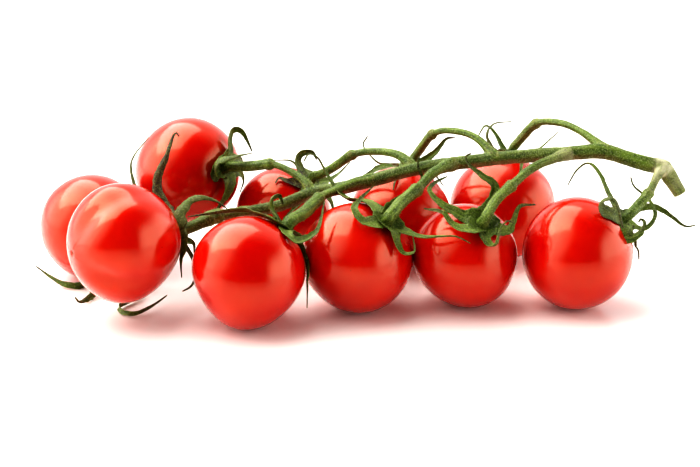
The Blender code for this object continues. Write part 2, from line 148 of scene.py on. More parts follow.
def capped_rings(rings, segments):
    """Faces of a round body whose points are its rings in order, then one point at each end."""
    last = (rings - 1) * segments
    first_end, last_end = rings * segments, rings * segments + 1
    faces = []
    for i in range(segments):
        j = (i + 1) % segments
        faces += [(first_end, i, j), (last_end, last + j, last + i)]
        for near in range(0, last, segments):
            far = near + segments
            faces.append((near + i, far + i, far + j, near + j))
    return faces


def fruit_surface(number):
    """Points, faces and the share of the way from the stem end to the scar, for each point."""
    centre, _, axis = BALLS[number]
    side = axis.orthogonal().normalized()
    other = axis.cross(side)
    points, shares = [], []
    for ring in range(1, FRUIT_RINGS):
        from_stem = math.pi * ring / FRUIT_RINGS - RING_CROWDING * math.sin(2 * math.pi * ring / FRUIT_RINGS)
        for i in range(FRUIT_SEGMENTS):
            turn = 2 * math.pi * i / FRUIT_SEGMENTS
            outward = spoke(side, other, turn)
            direction = axis * math.cos(from_stem) + outward * math.sin(from_stem)
            points.append(centre + direction * skin_radius(number, direction))
            shares.append(from_stem / math.pi)
    points += [centre + axis * skin_radius(number, axis), centre - axis * skin_radius(number, -axis)]
    shares += [0.0, 1.0]
    for point in points:
        point.z = max(point.z, 0.0)
    return points, capped_rings(FRUIT_RINGS - 1, FRUIT_SEGMENTS), shares


def new_object(name, data):
    """An object in the scene that shows a mesh, a light or a camera."""
    added = bpy.data.objects.new(name, data)
    bpy.context.scene.collection.objects.link(added)
    return added


def add_masks(mesh, masks):
    """Stores each mask on the mesh, with a value for every point."""
    for mask, values in masks.items():
        mesh.attributes.new(mask, "FLOAT", "POINT").data.foreach_set("value", values)


def new_piece(name, points, faces, material, masks=None):
    """A smooth-shaded object from points in millimetres, with a value per point for each mask."""
    mesh = bpy.data.meshes.new(name)
    mesh.from_pydata([Vector(p) * MM for p in points], [], faces)
    mesh.shade_smooth()
    add_masks(mesh, masks or {})
    mesh.materials.append(material)
    return new_object(name, mesh)


def new_material(name):
    """An empty node material with its Principled shader: the node tree and the shader."""
    material = bpy.data.materials.new(name)
    material.use_nodes = True
    return material, material.node_tree, material.node_tree.nodes["Principled BSDF"]


def feed(tree, node, sockets):
    """Gives each socket of a node, by name or number, a value or another node's output."""
    for name, value in sockets.items():
        if isinstance(value, bpy.types.NodeSocket):
            tree.links.new(value, node.inputs[name])
        else:
            node.inputs[name].default_value = value


def add_node(tree, kind, sockets=None, **settings):
    """A new shader node with these settings and sockets."""
    node = tree.nodes.new(kind)
    for name, value in settings.items():
        setattr(node, name, value)
    feed(tree, node, sockets or {})
    return node


def mixed(tree, share, first, second):
    """First colour where share is 0, second colour where it is 1."""
    return add_node(tree, "ShaderNodeMix", {0: share, 6: first, 7: second}, data_type="RGBA").outputs[2]


def ramped(tree, value, start, end, low=0.0, high=1.0):
    """A smooth step from low to high, as value goes from start to end."""
    node = add_node(tree, "ShaderNodeMapRange", {
        "Value": value, "From Min": start, "From Max": end, "To Min": low, "To Max": high,
    }, interpolation_type="SMOOTHSTEP")
    return node.outputs["Result"]


def calculated(tree, operation, first, second=0.0):
    """One sum, difference, product or the like of two values, or a function of the first."""
    return add_node(tree, "ShaderNodeMath", {0: first, 1: second}, operation=operation).outputs[0]


def product(tree, first, second):
    """One value times another."""
    return calculated(tree, "MULTIPLY", first, second)


def mask_of(tree, name):
    """The value that each point of the mesh carries under this name."""
    return add_node(tree, "ShaderNodeAttribute", attribute_name=name).outputs["Fac"]


def new_group(name, inputs, outputs):
    """A node group from {socket: default} and output names: its tree, its inputs and its outputs."""
    group = bpy.data.node_groups.new(name, "ShaderNodeTree")
    for socket, default in inputs.items():
        kind = "NodeSocketColor" if isinstance(default, tuple) else "NodeSocketFloat"
        group.interface.new_socket(socket, in_out="INPUT", socket_type=kind).default_value = default
    for socket, kind in outputs.items():
        group.interface.new_socket(socket, in_out="OUTPUT", socket_type=kind)
    return group, group.nodes.new("NodeGroupInput").outputs, group.nodes.new("NodeGroupOutput").inputs


def patches_group():
    """Soft noise whose patches are about Size millimetres across."""
    group, given, result = new_group("patches", {"Size": 1.0, "Detail": 2.0}, {"Value": "NodeSocketFloat"})
    place = add_node(group, "ShaderNodeTexCoord").outputs["Object"]
    scale = calculated(group, "DIVIDE", 1 / MM, given["Size"])
    soft = add_node(group, "ShaderNodeTexNoise",
                    {"Vector": place, "Scale": scale, "Detail": given["Detail"]})
    group.links.new(soft.outputs["Fac"], result["Value"])
    return group


PATCHES = patches_group()


def patches(tree, size, detail=2.0):
    """Value of the patches effect."""
    sockets = {"Size": size, "Detail": detail}
    return add_node(tree, "ShaderNodeGroup", sockets, node_tree=PATCHES).outputs["Value"]


def dots(tree, spacing, size):
    """1 in small round dots about this far apart and this size, in millimetres, and 0 between them."""
    place = add_node(tree, "ShaderNodeTexCoord").outputs["Object"]
    cells = add_node(tree, "ShaderNodeTexVoronoi", {"Vector": place, "Scale": 1 / MM / spacing})
    reach = size / 2 / spacing
    return ramped(tree, cells.outputs["Distance"], reach, reach * DOT_CORE)


def bumped(tree, height, depth, normal=None):
    """Normals of a surface that rises by depth millimetres as height goes from 0 to 1."""
    sockets = {"Height": height, "Strength": 1.0, "Distance": depth * MM}
    if normal is not None:
        sockets["Normal"] = normal
    return add_node(tree, "ShaderNodeBump", sockets).outputs["Normal"]


def tomato_skin():
    """Taut, glossy red skin: a little more orange in patches, with pale flecks and a brown scar."""
    material, tree, shader = new_material("tomato_skin")
    ripeness = ramped(tree, patches(tree, 16), 0.35, 0.7)
    red = mixed(tree, ripeness, (0.53, 0.004, 0.001, 1), (0.60, 0.013, 0.001, 1))
    along = mask_of(tree, "from_stem")
    red = mixed(tree, ramped(tree, along, 0.16, 0.04), red, (0.46, 0.022, 0.003, 1))
    flecks = product(tree, dots(tree, 1.3, 0.22), 0.35)
    red = mixed(tree, flecks, red, (0.62, 0.07, 0.02, 1))
    blemishes = product(tree, dots(tree, 7.0, 0.45), 0.8)
    red = mixed(tree, blemishes, red, (0.20, 0.012, 0.004, 1))
    scar = ramped(tree, along, 0.984, 0.993)
    red = mixed(tree, scar, red, (0.26, 0.03, 0.01, 1))
    smears = ramped(tree, patches(tree, 5, 4.0), 0.35, 0.75, 0.19, 0.27)
    waves = bumped(tree, patches(tree, 3.0), 0.013)
    feed(tree, shader, {
        "Base Color": red,
        "Roughness": calculated(tree, "ADD", smears, product(tree, scar, 0.4)),
        "Normal": bumped(tree, patches(tree, 0.35), 0.0025, waves),
        "IOR": 1.5,
        "Specular Tint": (1.0, 0.87, 0.38, 1),
        "Coat Weight": 0.6,
        "Coat Roughness": 0.12,
        "Coat Tint": (1.0, 0.97, 0.95, 1),
        "Subsurface Weight": 0.35,
        "Subsurface Radius": (1.0, 0.2, 0.08),
        "Subsurface Scale": 3.0 * MM,
    })
    return material


skin = tomato_skin()
for n in FRUITS:
    fruit_points, fruit_faces, fruit_shares = fruit_surface(n)
    fruit = new_piece(f"fruit_{n:02d}", fruit_points, fruit_faces, skin, {"from_stem": fruit_shares})
    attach(fruit, "root")
    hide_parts(f"tomato_{n:02d}")

# --- stem and stalks ------------------------------------------------------------------
# The rachis and the ten pedicels grew as one green, downy piece. The stalks leave the stem in webbed forks
# and have a swollen knuckle, where a ripe fruit lets go. The thick end was cut square when it was picked.

SHIFT = Vector((-2.9, 0.0, 0.0))      # from the routes' own zero to the middle of the truss
STEM_ROUTE = (                        # x, y, z and radius, from the cut end to the last fork
    (97.5, -3, 30.5, 2.0), (94.5, -2.5, 35, 2.2), (92, -2, 38.3, 2.5), (88.5, -1.5, 39, 2.3),
    (81, -0.5, 40.8, 2.2), (74.5, 0, 42.6, 2.3), (63.5, 0, 41.9, 2.1), (47.5, 1, 40.5, 2.0),
    (34.5, 1, 39, 2.0), (24, 0, 38, 1.95), (14.5, -1, 36.2, 1.95), (-1, -1, 31.9, 2.0),
    (-11, 0, 29.7, 2.0), (-21, -2, 26.4, 1.8), (-29.5, -4, 25.2, 1.7), (-38, -7, 25, 1.6),
)
STEM_RADIUS = 2.0             # near enough: a stalk comes out of the stem's skin this far along
STALKS = {    # route from the stem's axis, the knuckle's place in it, radius above and below the knuckle
    1: (((-30, -4, 25.2), (-37, -2.2, 23.8), (-44.5, -3, 21.5), (-52, -4.5, 17), (-59, -5, 11.5),
         (-65.5, -5.5, 7.2)), 3, 1.0, 1.2),
    2: (((-38, -7, 25), (-41, -9, 24.7), (-44.5, -11.8, 23.7)), 1, 1.5, 1.6),
    3: (((-11, 0, 29.7), (-13.5, 2.5, 32.5), (-18, 6, 34.7), (-23.5, 9, 36), (-30.5, 12, 34.5)),
        3, 1.0, 1.6),
    4: (((7, -1, 34.1), (1, -4.5, 34.2), (-4.5, -8.5, 33), (-8.7, -11, 31.6), (-13, -20, 30)),
        3, 1.25, 1.85),
    5: (((19, 0, 37.3), (14.3, 4, 40.3), (8, 9, 40), (1, 13, 38), (-5, 17, 32.8), (-9.5, 20, 29.5)),
        3, 1.1, 1.4),
    6: (((31, 0.8, 38.8), (24.5, -6, 37.8), (19.7, -11, 34.5), (14.5, -18, 32.2)), 2, 1.4, 1.8),
    7: (((43, 1, 40.3), (37.5, 6.5, 45), (30.5, 12, 45.7), (25.5, 17, 43.5), (22.5, 22.5, 38)),
        3, 1.0, 1.35),
    8: (((65, 0, 42), (56, -7, 41), (51, -10.5, 39.2), (46.5, -14.5, 36.5), (41.5, -19, 33.3)),
        3, 1.25, 1.5),
    9: (((75.5, 0, 42.6), (69.5, 6.5, 46.4), (63.5, 13, 47.8), (57.5, 20, 46), (54, 28, 39.5)),
        3, 1.05, 1.4),
    10: (((92, -2, 38.3), (89.7, -6, 36.5), (87, -9.5, 32.8), (83, -13.5, 29.8)), 2, 1.05, 1.45),
}
PALE_STALKS = {8: 0.45, 10: 0.8}      # how woody these are where they leave the stem
OLD_BEND = Vector(STEM_ROUTE[2][:3]) + SHIFT    # a bare, woody bend next to the cut end
BEND_REACH = 3.0
CUT_END_WOODY = 0.4           # how woody the stem is from the bend to the cut end
WOODY_REACH = 9.0             # how far the woody look runs down a stalk
DARK_AND_SHADE_END = 66.0              # the stem is darker green, with painted brown shade underneath, up to about this x
DARK_AND_SHADE_FADE = 5.0
STALK_DARK_AND_SHADE = 0.2
JOINT_REACH = 1.4             # how far a knuckle's paler look reaches
FORK_JOINT_REACH = 3.5        # and a fork's, down its stalk
TUBE_SIDES = 20
TUBE_STEP = 0.5
KNUCKLE_RISE = 0.4
KNUCKLE_REACH = 1.5
KNUCKLE_STEP = 0.35           # share of its reach that a knuckle has on the side of the stem
KNUCKLE_SOFTNESS = 0.3
KNUCKLE_GROOVE = 0.08         # the seam round a knuckle, where the stalk will part
GROOVE_REACH = 0.3
FORK_FLARE = 0.75             # extra radius where a stalk leaves the stem
FORK_REACH = 3.2
CALYX_FLARE = 0.75            # extra radius where a stalk spreads into its calyx
CALYX_REACH = 0.9
STALK_LANDING = 2.5           # straight stretch at the end, square to the calyx
LANDING_END = 0.8             # this stretch ends so far above the hub's middle
STALK_END = 0.1               # and the stalk's axis ends this far above it
HUB_SINK = 0.35               # how far the hub's middle sits below the shoulder of the fruit
STEM_RIDGES = 5
RIDGE_RISE = 0.035            # share of the radius
STEM_LUMPS = 0.10             # share of the radius
LUMPS_PER_MM = 0.35
STREAK_WIDTH = 0.45           # of the lengthwise streaks, in radii
STREAK_DRIFT = 0.12           # how fast they change along the stem
STREAK_SLANT = 0.05
STREAK_CONTRAST = 0.8
STREAKS_APART = 40            # keeps each stalk's streaks unlike the next one's
VOXEL = 0.23
FILLET_PASSES = 6


def smooth_route(points, step):
    """Samples about `step` apart on a Catmull-Rom curve through the points, which may carry a radius."""
    points = [Vector(p) for p in points]
    ends = [2 * points[0] - points[1]] + points + [2 * points[-1] - points[-2]]
    samples = []
    for before, start, end, after in zip(ends, ends[1:], ends[2:], ends[3:]):
        count = max(1, round((end.xyz - start.xyz).length / step))
        for i in range(count):
            t = i / count
            samples.append(0.5 * (2 * start + (end - before) * t
                                  + (2 * before - 5 * start + 4 * end - after) * t ** 2
                                  + (3 * start - 3 * end + after - before) * t ** 3))
    return samples + [points[-1]]


def directions(path):
    """Unit tangent at each point of a path."""
    last = len(path) - 1
    return [(path[min(i + 1, last)] - path[max(i - 1, 0)]).normalized() for i in range(last + 1)]


def distances(path):
    """Length along a path up to each of its points."""
    total = [0.0]
    for a, b in zip(path, path[1:]):
        total.append(total[-1] + (b - a).length)
    return total


def carried_sides(tangents, first_side):
    """A side direction at each point of a path, carried along it without twisting."""
    sides = []
    side = first_side
    for tangent in tangents:
        side = (side - tangent * side.dot(tangent)).normalized()
        sides.append(side)
    return sides


def sleeve_faces(rings, sides):
    """Faces of a closed sleeve whose points are its rings in order, with a flat face at each end."""
    last = (rings - 1) * sides
    faces = []
    for near in range(0, last, sides):
        for i in range(sides):
            j = (i + 1) % sides
            faces.append((near + i, near + j, near + sides + j, near + sides + i))
    return faces + [tuple(reversed(range(sides))), tuple(range(last, last + sides))]


def tube(path, radii):
    """Points and faces of a closed, faintly ridged and lumpy tube along a path."""
    tangents = directions(path)
    sides = carried_sides(tangents, tangents[0].orthogonal())
    points = []
    for centre, tangent, side, radius in zip(path, tangents, sides, radii):
        other = tangent.cross(side)
        for i in range(TUBE_SIDES):
            turn = 2 * math.pi * i / TUBE_SIDES
            outward = spoke(side, other, turn)
            ridge = 1 + RIDGE_RISE * math.cos(STEM_RIDGES * turn)
            lump = 1 + STEM_LUMPS * noise.noise((centre + outward * radius) * LUMPS_PER_MM)
            points.append(centre + outward * radius * ridge * lump)
    return points, sleeve_faces(len(path), TUBE_SIDES)


def hub_middle(number):
    """Middle of the calyx's hub, just inside the shoulder of the fruit."""
    centre, radius, axis = BALLS[number]
    return centre + axis * (radius - HUB_SINK)


def stalk_path(number):
    """Centres and radii along a stalk, from the stem's axis into its calyx, and its knuckle's distance."""
    route, knuckle, upper, lower = STALKS[number]
    axis, hub = BALLS[number][2], hub_middle(number)
    route = [Vector(p) + SHIFT for p in route]
    landing = hub + axis * (LANDING_END + STALK_LANDING)
    path = smooth_route((*route, landing, hub + axis * STALK_END), TUBE_STEP)
    along = distances(path)
    knuckle_at = min(zip(path, along), key=lambda pair: (pair[0] - route[knuckle]).length)[1]
    radii = []
    for distance in along:
        share = 1 / (1 + math.exp(-(distance - knuckle_at) / KNUCKLE_SOFTNESS))
        reach = KNUCKLE_REACH * (1 if distance > knuckle_at else KNUCKLE_STEP)
        swelling = KNUCKLE_RISE * bell(distance - knuckle_at, reach)
        seam = KNUCKLE_GROOVE * bell(distance - knuckle_at, GROOVE_REACH)
        out_of_stem = max(0.0, distance - STEM_RADIUS)
        flare = FORK_FLARE * math.exp(-out_of_stem / FORK_REACH)
        spread = CALYX_FLARE * math.exp(-(along[-1] - distance) / CALYX_REACH)
        radii.append(upper + (lower - upper) * share + swelling - seam + flare + spread)
    return path, radii, knuckle_at


def grown_together(name, tubes, material):
    """Joins closed tubes into one skin without seams and rounds its forks."""
    points, faces = [], []
    for tube_points, tube_faces in tubes:
        first = len(points)
        points += tube_points
        faces += [tuple(first + i for i in face) for face in tube_faces]
    piece = new_piece(name, points, faces, material)
    fusing = piece.modifiers.new("fusing", "REMESH")
    fusing.mode = "VOXEL"
    fusing.voxel_size = VOXEL * MM
    fusing.use_smooth_shade = True
    rounding = piece.modifiers.new("rounding", "SMOOTH")
    rounding.factor = 0.5
    rounding.iterations = FILLET_PASSES
    evaluated = piece.evaluated_get(bpy.context.evaluated_depsgraph_get())
    grown = bpy.data.meshes.new_from_object(evaluated)
    piece.modifiers.clear()
    piece.data = grown
    return piece


def stem_woody(centre):
    """How woody the stem is: most at the old bend, and somewhat from there to the cut end."""
    return max(bell((centre - OLD_BEND).length, BEND_REACH), CUT_END_WOODY * (centre.x > OLD_BEND.x))


def stem_dark_and_shaded(centre):
    """How dark and shaded the stem is: darker green with painted shade underneath along most of it, and
    neither at the cut end.
    """
    return 1 / (1 + math.exp((centre.x - DARK_AND_SHADE_END) / DARK_AND_SHADE_FADE))


def stalk_masks(number, distance, knuckle_distance):
    """How near a joint, how woody and how dark and shaded a stalk is, at this distance from its start."""
    joint = bell(distance - knuckle_distance, JOINT_REACH) + bell(distance, FORK_JOINT_REACH)
    return joint, PALE_STALKS.get(number, 0.0) * bell(distance, WOODY_REACH), STALK_DARK_AND_SHADE


def streak(place):
    """A streak's value, about 0.5, at a place in the noise that the streaks are cut from."""
    return 0.5 + STREAK_CONTRAST * noise.noise(place)


def stem_masks(mesh, branches):
    """How near a joint, how woody and how dark and shaded each point of the stem's skin is, and its streak.
    """
    samples = [sample for branch in branches for sample in branch]
    tree = kdtree.KDTree(len(samples))
    for i, sample in enumerate(samples):
        tree.insert(sample[0] * MM, i)
    tree.balance()
    masks = {"joint": [], "woody": [], "dark_and_shaded": [], "streak": []}
    for vertex in mesh.vertices:
        centre, joint, woody, dark_and_shaded, distance = samples[tree.find(vertex.co)[1]]
        outward = (vertex.co / MM - centre).normalized()
        for mask, value in (("joint", joint), ("woody", woody), ("dark_and_shaded", dark_and_shaded)):
            masks[mask].append(value)
        drift = Vector((distance * STREAK_DRIFT, 0, distance * STREAK_SLANT))
        masks["streak"].append(streak(outward / STREAK_WIDTH + drift))
    return masks


def downy_group():
    """Mottled, downy plant green: its colour, with pale down on it, its roughness and its relief."""
    group, given, result = new_group(
        "downy_green",
        {"Fresh": (0.1, 0.2, 0.02, 1), "Pale": (0.2, 0.3, 0.04, 1), "Shade": (0.04, 0.07, 0.01, 1),
         "Down": (0.4, 0.45, 0.2, 1), "Streak": 0.5, "Over": 0.0, "Over Colour": (0.1, 0.1, 0.1, 1)},
        {"Colour": "NodeSocketColor", "Roughness": "NodeSocketFloat", "Height": "NodeSocketFloat"})
    broad = calculated(group, "ADD", product(group, patches(group, 4.0, 3.0), 0.6),
                       product(group, given["Streak"], 0.4))
    green = mixed(group, ramped(group, broad, 0.38, 0.62), given["Fresh"], given["Pale"])
    grime = product(group, ramped(group, patches(group, 0.6, 3.0), 0.46, 0.62),
                    ramped(group, given["Streak"], 0.7, 0.3, 0.35, 0.75))
    green = mixed(group, grime, green, given["Shade"])
    off_vein = calculated(group, "ABSOLUTE", calculated(group, "SUBTRACT", given["Streak"], 0.5))
    green = mixed(group, ramped(group, off_vein, 0.07, 0.0, 0.0, 0.6), green, given["Shade"])
    green = mixed(group, given["Over"], green, given["Over Colour"])
    down = ramped(group, patches(group, 0.4, 1.0), 0.5, 0.68)
    green = mixed(group, product(group, down, 0.4), green, given["Down"])
    group.links.new(green, result["Colour"])
    group.links.new(ramped(group, patches(group, 1.0), 0.3, 0.7, 0.42, 0.62), result["Roughness"])
    height = calculated(group, "ADD", patches(group, 0.9, 3.0), product(group, down, 0.4))
    group.links.new(calculated(group, "ADD", height, given["Streak"]), result["Height"])
    return group


DOWNY = downy_group()


def stem_skin():
    """Downy green rind: darker along most of it, with painted brown shade underneath, paler at joints, and
    woody at the old bend.
    """
    material, tree, shader = new_material("stem_green")
    # painted shade: the rind turns brown where it faces down, standing in for the shade on its underside
    facing_up = add_node(tree, "ShaderNodeSeparateXYZ", {
        0: add_node(tree, "ShaderNodeNewGeometry").outputs["Normal"]}).outputs["Z"]
    underside_shade = product(tree, ramped(tree, facing_up, 0.25, -0.6),
                    ramped(tree, patches(tree, 5.0, 3.0), 0.35, 0.6))
    dark_and_shaded = mask_of(tree, "dark_and_shaded")
    underside_shade = product(tree, underside_shade, dark_and_shaded)
    joint = product(tree, mask_of(tree, "joint"), ramped(tree, patches(tree, 1.6), 0.42, 0.6, 0.0, 0.5))
    woody = product(tree, mask_of(tree, "woody"),
                    ramped(tree, patches(tree, 2.5, 3.0), 0.25, 0.6, 0.4, 1.0))
    # the brown here is the painted underside shade; the yellow-green is the joints' own paler colour
    over = mixed(tree, joint, (0.26, 0.185, 0.075, 1), (0.26, 0.27, 0.06, 1))
    over = mixed(tree, woody, over, (0.80, 0.76, 0.54, 1))
    share = calculated(tree, "MAXIMUM", calculated(tree, "MAXIMUM", underside_shade, joint), woody)
    fresh = mixed(tree, dark_and_shaded, (0.095, 0.16, 0.012, 1), (0.075, 0.12, 0.015, 1))
    pale = mixed(tree, dark_and_shaded, (0.18, 0.255, 0.035, 1), (0.155, 0.20, 0.04, 1))
    green = add_node(tree, "ShaderNodeGroup", {
        "Fresh": fresh, "Pale": pale, "Shade": (0.04, 0.055, 0.010, 1), "Down": (0.46, 0.51, 0.20, 1),
        "Streak": mask_of(tree, "streak"), "Over": share, "Over Colour": over}, node_tree=DOWNY)
    feed(tree, shader, {
        "Base Color": green.outputs["Colour"],
        "Roughness": green.outputs["Roughness"],
        "Normal": bumped(tree, green.outputs["Height"], 0.12),
        "Subsurface Weight": 0.08,
        "Subsurface Radius": (0.6, 1.0, 0.2),
        "Subsurface Scale": 0.5 * MM,
    })
    return material


# the fourth number is the radius, which SHIFT leaves as it is
stem_samples = [s + SHIFT.to_4d() - Vector((0, 0, 0, 1)) for s in smooth_route(STEM_ROUTE, TUBE_STEP)]
stem_centres = [s.xyz for s in stem_samples]
stem_radii = [s.w for s in stem_samples]
branches = [[(centre, 0.0, stem_woody(centre), stem_dark_and_shaded(centre), distance)
             for centre, distance in zip(stem_centres, distances(stem_centres))]]
tubes = [tube(stem_centres, stem_radii)]
for n in FRUITS:
    stalk_centres, stalk_radii, knuckle_distance = stalk_path(n)
    tubes.append(tube(stalk_centres, stalk_radii))
    branches.append([
        (centre, *stalk_masks(n, distance, knuckle_distance), distance + STREAKS_APART * n)
        for centre, distance in zip(stalk_centres, distances(stalk_centres))])
stem = grown_together("stem_and_stalks", tubes, stem_skin())
add_masks(stem.data, stem_masks(stem.data, branches))
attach(stem, "root")
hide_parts("main_stem", *(f"stalk_{n:02d}" for n in FRUITS))

# --- down on the stem -----------------------------------------------------------------
# The stem and the stalks are covered in short, fine, pale hairs, which stand out against a light. Each grew
# from the rind and tapers to nothing.

HAIR_LENGTH = (0.3, 0.8)      # shortest and longest
HAIR_RADIUS = 0.035           # at its root
HAIR_LEAN = 0.4
HAIR_CLEARANCE = 0.5          # a tip that comes nearer to a tomato or the table is left out
STEM_HAIRS = 12000


def hairs(name, hosts, count, material, seed):
    """One piece of fine three-sided cones, spread evenly over the skins of other pieces."""
    pick = np.random.default_rng(seed)
    spots = [(polygon, host.data) for host in hosts for polygon in host.data.polygons]
    areas = np.array([polygon.area for polygon, _ in spots])
    points, faces = [], []
    for i in pick.choice(len(spots), size=count, p=areas / areas.sum()):
        polygon, mesh = spots[i]
        normal = polygon.normal
        corners = [mesh.vertices[v].co / MM for v in polygon.vertices[:3]]
        a, b = sorted(pick.random(2))
        root = corners[0] * a + corners[1] * (b - a) + corners[2] * (1 - b) - normal * HAIR_RADIUS
        lean = Vector(pick.normal(size=3)) * HAIR_LEAN
        tip = root + (normal + lean - normal * lean.dot(normal)).normalized() * pick.uniform(*HAIR_LENGTH)
        if tip.z < HAIR_CLEARANCE or any((tip - centre).length < radius + HAIR_CLEARANCE
                                         for centre, radius, _ in BALLS.values()):
            continue
        side = normal.orthogonal().normalized() * HAIR_RADIUS
        other = normal.cross(side)
        first = len(points)
        back, apart = side * 0.5, other * 0.87    # the root's three corners are a third of a turn apart
        points += [root + side, root - back + apart, root - back - apart, tip]
        faces += [(first + 2, first + 1, first), (first, first + 1, first + 3),
                  (first + 1, first + 2, first + 3), (first + 2, first, first + 3)]
    return new_piece(name, points, faces, material)


def pale_down():
    """Translucent, almost colourless hair, a little greener in patches."""
    material, tree, shader = new_material("pale_down")
    tone = mixed(tree, patches(tree, 3.0), (0.38, 0.46, 0.20, 1), (0.62, 0.66, 0.42, 1))
    roughness = ramped(tree, patches(tree, 1.0), 0.3, 0.7, 0.4, 0.6)
    feed(tree, shader, {"Base Color": tone, "Roughness": roughness, "Transmission Weight": 0.3})
    return material


down = pale_down()
stem_down = hairs("stem_down", [stem], STEM_HAIRS, down, 1)
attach(stem_down, "root")

# --- calyces --------------------------------------------------------------------------
# Each fruit wears the calyx that its flower left: a green hub with five or six sepals grown from it. They
# are thin, cupped blades with a midrib, and have dried, curled and browned towards their tips.

HUB_RADIUS = 2.4
SEPAL_START = 0.7             # the blades begin this far from the hub's middle, under the stalk
SAMPLES_UNDER_HUB = 3         # of a blade's path, which stay where they are
SEPAL_BASE = 7.0              # widths
SEPAL_TIP = 0.42
SEPAL_MIDDLE = 0.5            # thickness at the midrib, next to the hub
SEPAL_EDGE = 0.16
SEPAL_STEP = 0.6
SEPAL_LIFT = 0.6              # a sepal's middle stays this far off every skin
SEPAL_WIDENING = 5.2          # the blades are webbed together up to about here
SEPAL_TAPER = 1.1
SEPAL_TWIST = math.radians(35)
TWIST_WAVE = 3                # radians that the twist's own wave runs through
TWIST_START = 9               # sets each blade's wave off from another point, by its width
SEPAL_CUP = math.radians(18)  # how far the edges turn up at the hub
TIP_CUP = math.radians(55)    # and at the tip
CUP_EASE = 0.8
RAGGEDNESS = 0.28
NOTCHES_PER_MM = 0.8
EDGES_APART = 3               # keeps the two edges' notches unlike
ACROSS = (-1, -0.8, -0.45, -0.12, 0, 0.12, 0.45, 0.8, 1)
RIB_RISE = 0.12
RIB_WIDTH = 0.1               # share of half the width
GRAIN_ACROSS = 3              # how fast a blade's streaks change across it
GRAIN_ALONG = 0.15            # and along it
FRUIT_REACH = 25.0            # no skin is farther than this from its fruit's centre
HUB_PROFILE = (               # radius and height
    (0.0, 0.65), (1.2, 0.62), (1.9, 0.45), (HUB_RADIUS, 0.05), (HUB_RADIUS, -0.5), (1.6, -1.2), (0.0, -1.4))
HUB_LOBE = 0.08               # share of the radius
HUB_SEGMENTS = 48

